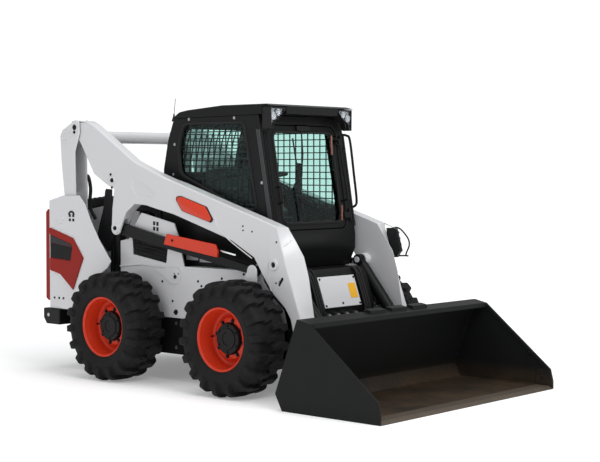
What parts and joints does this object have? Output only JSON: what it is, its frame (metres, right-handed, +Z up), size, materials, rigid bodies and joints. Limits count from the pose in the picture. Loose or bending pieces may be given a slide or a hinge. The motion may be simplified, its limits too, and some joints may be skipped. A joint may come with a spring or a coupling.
{
  "type": "skid steer loader",
  "caption": "Wheeled compact loader with a glazed cab, vertical-path lift arms and a tilting bucket; door, tail door, wheels and cylinders move.",
  "frame": {"origin": "middle of the bounding box on the ground, with the bucket resting on the ground", "axes": "+X to the machine's left, -Y to its front (the bucket), +Z up"},
  "size_m": [2.032, 3.726, 2.062],
  "materials": {
    "white_paint": "gloss enamel, lightly scuffed",
    "black_paint": "satin black enamel",
    "red_paint": "gloss orange-red enamel",
    "tyre_rubber": "matt, dusty between the lugs",
    "cab_glass": "green tint",
    "lamp_lens": "clear moulded lens",
    "tail_lens": "red moulded lens",
    "engine_iron": "painted casting",
    "chrome_rod": "ground and chromed",
    "bucket_steel": "black paint worn to brown steel inside",
    "edge_steel": "worn bright along the lip",
    "seat_plastic": "grained moulding",
    "seat_vinyl": "black vinyl cover"
  },
  "bodies": {
    "frame": {"lower_frame": "black_paint", "axles": "black_paint", "chassis_sides": "white_paint", "quarter_panels": "white_paint", "side_vents": "black_paint", "rear_bumper": "black_paint", "engine_block": "engine_iron", "rear_hood": "black_paint", "tail_lamps": "tail_lens", "front_bulkhead": "black_paint", "front_panel": "white_paint", "cab_frame": "black_paint", "cab_roof": "black_paint", "cab_glass": "cab_glass", "window_guards": "black_paint", "cab_lamps": "lamp_lens", "seat_base": "seat_plastic", "seat_pads": "seat_vinyl"},
    "rear_links": {"rear_links": "white_paint"},
    "front_links": {"front_links": "black_paint", "lift_lock_channel": "red_paint"},
    "lift_arms": {"lift_arms": "white_paint", "coupler_block": "black_paint"},
    "lift_barrels": {"lift_barrels": "black_paint"},
    "lift_rods": {"lift_rods": "chrome_rod"},
    "tilt_barrels": {"tilt_barrels": "black_paint"},
    "tilt_rods": {"tilt_rods": "chrome_rod"},
    "bucket": {"attach_plate": "black_paint", "bucket_shell": "bucket_steel", "cutting_edge": "edge_steel"},
    "door": {"door_frame": "black_paint", "door_glass": "cab_glass"},
    "tailgate": {"tailgate": "black_paint"},
    "wheel_front_left": {"tyre_front_left": "tyre_rubber", "rim_front_left": "red_paint", "hub_front_left": "black_paint"},
    "wheel_front_right": {"tyre_front_right": "tyre_rubber", "rim_front_right": "red_paint", "hub_front_right": "black_paint"},
    "wheel_rear_left": {"tyre_rear_left": "tyre_rubber", "rim_rear_left": "red_paint", "hub_rear_left": "black_paint"},
    "wheel_rear_right": {"tyre_rear_right": "tyre_rubber", "rim_rear_right": "red_paint", "hub_rear_right": "black_paint"}
  },
  "joints": [
    {"name": "wheel_front_left_turn", "type": "hinge", "parent": "frame", "child": "wheel_front_left", "pos_m": [0.77, -0.353, 0.41], "axis": [1, 0, 0], "continuous": true},
    {"name": "wheel_rear_left_turn", "type": "hinge", "parent": "frame", "child": "wheel_rear_left", "pos_m": [0.77, 0.887, 0.41], "axis": [1, 0, 0], "continuous": true},
    {"name": "wheel_front_right_turn", "type": "hinge", "parent": "frame", "child": "wheel_front_right", "pos_m": [-0.77, -0.353, 0.41], "axis": [1, 0, 0], "continuous": true},
    {"name": "wheel_rear_right_turn", "type": "hinge", "parent": "frame", "child": "wheel_rear_right", "pos_m": [-0.77, 0.887, 0.41], "axis": [1, 0, 0], "continuous": true},
    {"name": "lift", "type": "hinge", "parent": "frame", "child": "front_links", "pos_m": [0, -0.388, 0.872], "axis": [1, 0, 0], "range_deg": [0, 39.51]},
    {"name": "arms_on_links", "type": "hinge", "parent": "front_links", "child": "lift_arms", "pos_m": [0, 1.042, 1.14], "axis": [1, 0, 0], "range_deg": [-103.56, 0]},
    {"name": "rear_link_swing", "type": "hinge", "parent": "frame", "child": "rear_links", "pos_m": [0, 1.559, 1], "axis": [1, 0, 0], "range_deg": [0, 3.28]},
    {"name": "lift_barrel_swing", "type": "hinge", "parent": "frame", "child": "lift_barrels", "pos_m": [0, 1.207, 0.53], "axis": [1, 0, 0], "range_deg": [0, 8.07]},
    {"name": "lift_rod_slide", "type": "slide", "parent": "lift_barrels", "child": "lift_rods", "axis": [0, -0.025, 0.9997], "range_m": [0, 0.5251]},
    {"name": "tilt", "type": "hinge", "parent": "lift_arms", "child": "bucket", "pos_m": [0, -0.893, 0.205], "axis": [1, 0, 0], "range_deg": [-30, 105]},
    {"name": "tilt_barrel_swing", "type": "hinge", "parent": "lift_arms", "child": "tilt_barrels", "pos_m": [0, -0.523, 0.915], "axis": [1, 0, 0], "range_deg": [-0.95, 3.2]},
    {"name": "tilt_rod_slide", "type": "slide", "parent": "tilt_barrels", "child": "tilt_rods", "axis": [0, -0.6386, -0.7695], "range_m": [-0.0764, 0.2649]},
    {"name": "door_swing", "type": "hinge", "parent": "frame", "child": "door", "pos_m": [0.412, -0.4649, 1.1117], "axis": [0, 0.169, 0.9856], "range_deg": [0, 90]},
    {"name": "tailgate_swing", "type": "hinge", "parent": "frame", "child": "tailgate", "pos_m": [0.606, 1.827, 0.9], "axis": [0, 0, -1], "range_deg": [0, 100]}
  ],
  "couplings": [
    {"joint": "arms_on_links", "follows": "lift", "ratio": -2.6199},
    {"joint": "rear_link_swing", "follows": "lift", "ratio": 0.0816},
    {"joint": "lift_barrel_swing", "follows": "lift", "ratio": 0.203},
    {"joint": "lift_rod_slide", "follows": "lift", "m_per_rad": 0.76},
    {"joint": "tilt_barrel_swing", "follows": "tilt", "ratio": 0.03},
    {"joint": "tilt_rod_slide", "follows": "tilt", "m_per_rad": 0.144}
  ]
}
